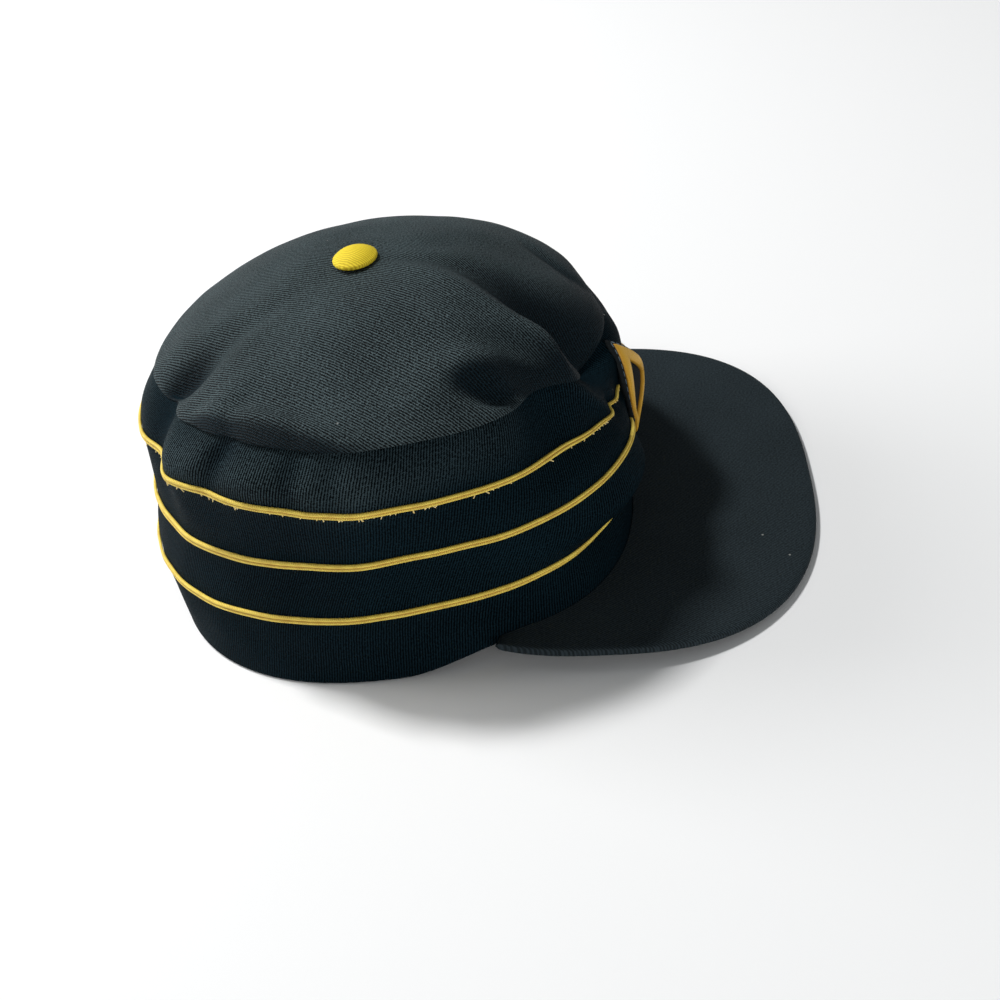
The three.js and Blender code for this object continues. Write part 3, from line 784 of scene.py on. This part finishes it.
# The bill: a stiff board covered on both faces in the same twill, seamed round its outer edge and sewn to
# the front of the rim. It lies nearly flat, and the band's fold rests on it.
BILL_THICK, BILL_END, BILL_OUTLINE_END = 3.4, 65.0, 112.0
BILL_COLUMNS, BILL_ROWS = 240, 60
BILL_ENDS = 0.02
BILL_SECTION = (
    Section(0, 0, 1), Section(0.42, 0.94, 1), Section(0.46, 0.985, 0.92), Section(0.49, 0.998, 0.75),
    Section(0.51, 1, 0.5), Section(0.53, 0.998, 0.25), Section(0.56, 0.985, 0.08), Section(0.6, 0.94, 0),
    Section(1, 0, 0),
)


def place_bill(around, up):
    """From the rim out over the upper face, round the edge and back under it, with rounded ends."""
    along = 2 * around - 1
    out, lift = read_section(BILL_SECTION, up)
    end = np.clip((np.abs(along) - 1 + BILL_ENDS) / BILL_ENDS, 0, 1)
    lift = 0.5 + (lift - 0.5) * np.sqrt(1 - end**2)
    angle = along * BILL_END
    low, high = on_band(angle, 0 * angle, SEW_GAP), on_band(angle, 0 * angle + BILL_THICK, SEW_GAP)
    x, y = bill_outline(along * BILL_OUTLINE_END)
    tip = np.stack([x, y, bill_drop(x, y) - BILL_LOW], 1)
    tip_top = tip + (0, 0, BILL_THICK)
    under, over = low + (tip - low) * out[:, None], high + (tip_top - high) * out[:, None]
    points = under + (over - under) * lift[:, None]
    return points, points[:, :2]


BILL_BLACK = (0.012, 0.017, 0.0195), (0.031, 0.043, 0.05)
BILL_WEAVE = Twill(BILL_BLACK, BILL_BLACK, shine=0.05, turn=55, pitch=0.8 * MM, depth=0.035 * MM)
bill_mesh = grid_mesh(BILL_COLUMNS, BILL_ROWS, place_bill)
add_piece("bill_cover", bill_mesh, twill("bill_twill", BILL_WEAVE), "bill_twill", "bill")

# The studio: a pale floor and plain soft light from above, with a larger lamp behind the cap on the wearer's
# left and a fill lamp low on the wearer's right. The camera stands on the wearer's right and looks down, as
# in the photograph.
FLOOR_SIZE, FLOOR_DROP = 6.0, 0.2 * MM
FLOOR_COLOUR, FLOOR_ROUGHNESS = (0.96, 0.96, 0.96, 1.0), 0.9
Lamp = namedtuple("Lamp", "way distance size power")
KEY_LAMP = Lamp((0.264, 0.422, 0.868), 2.0, 0.26, 28.0)
REAR_LAMP = Lamp((0.25, 0.85, 0.5), 2.0, 1.0, 20.0)
FILL_LAMP = Lamp((-0.8, -0.5, 0.2), 2.0, 1.2, 13.0)
WORLD_COLOUR, WORLD_STRENGTH = (0.93, 0.98, 1.0, 1.0), 0.16
CAMERA_AZIMUTH, CAMERA_ELEVATION, CAMERA_ROLL = 278.859, 37.003, -12.481
CAMERA_DISTANCE, CAMERA_LENS = 544.431 * MM, 54.0
CAMERA_TARGET = Vector((-44.797, -13.028, 40.0)) * MM

floor_mesh = bmesh.new()
floor_place = Matrix.Translation((0, 0, -FLOOR_DROP))
bmesh.ops.create_grid(floor_mesh, x_segments=1, y_segments=1, size=FLOOR_SIZE / 2, matrix=floor_place)
floor_data = bpy.data.meshes.new("floor")
floor_mesh.to_mesh(floor_data)
floor_mesh.free()
floor = bpy.data.objects.new("floor", floor_data)
bpy.context.scene.collection.objects.link(floor)
floor_paper = bpy.data.materials.new("floor_paper")
floor_paper.use_nodes = True
floor_shader = floor_paper.node_tree.nodes["Principled BSDF"]
floor_shader.inputs["Base Color"].default_value = FLOOR_COLOUR
floor_shader.inputs["Roughness"].default_value = FLOOR_ROUGHNESS
floor_data.materials.append(floor_paper)


def add_lamp(name, lamp):
    """A soft square lamp that shines on the cap from its way."""
    data = bpy.data.lights.new(name, "AREA")
    data.size, data.energy = lamp.size, lamp.power
    made = bpy.data.objects.new(name, data)
    way = Vector(lamp.way).normalized()
    made.location = way * lamp.distance
    made.rotation_euler = way.to_track_quat("Z", "Y").to_euler()
    bpy.context.scene.collection.objects.link(made)
    return made


key, rear, fill = add_lamp("key", KEY_LAMP), add_lamp("rear", REAR_LAMP), add_lamp("fill", FILL_LAMP)
world = bpy.data.worlds.new("studio")
world.use_nodes = True
world.node_tree.nodes["Background"].inputs["Color"].default_value = WORLD_COLOUR
world.node_tree.nodes["Background"].inputs["Strength"].default_value = WORLD_STRENGTH
bpy.context.scene.world = world
bpy.context.scene.view_settings.view_transform = "Standard"

azimuth, elevation = math.radians(CAMERA_AZIMUTH), math.radians(CAMERA_ELEVATION)
level = math.cos(elevation)
back = Vector((math.sin(azimuth) * level, -math.cos(azimuth) * level, math.sin(elevation)))
camera = bpy.data.objects.new("camera", bpy.data.cameras.new("camera"))
camera.data.lens = CAMERA_LENS
camera.location = CAMERA_TARGET + back * CAMERA_DISTANCE
roll = Quaternion((0, 0, 1), math.radians(CAMERA_ROLL))
camera.rotation_euler = (back.to_track_quat("Z", "Y") @ roll).to_euler()
bpy.context.scene.collection.objects.link(camera)
bpy.context.scene.camera = camera
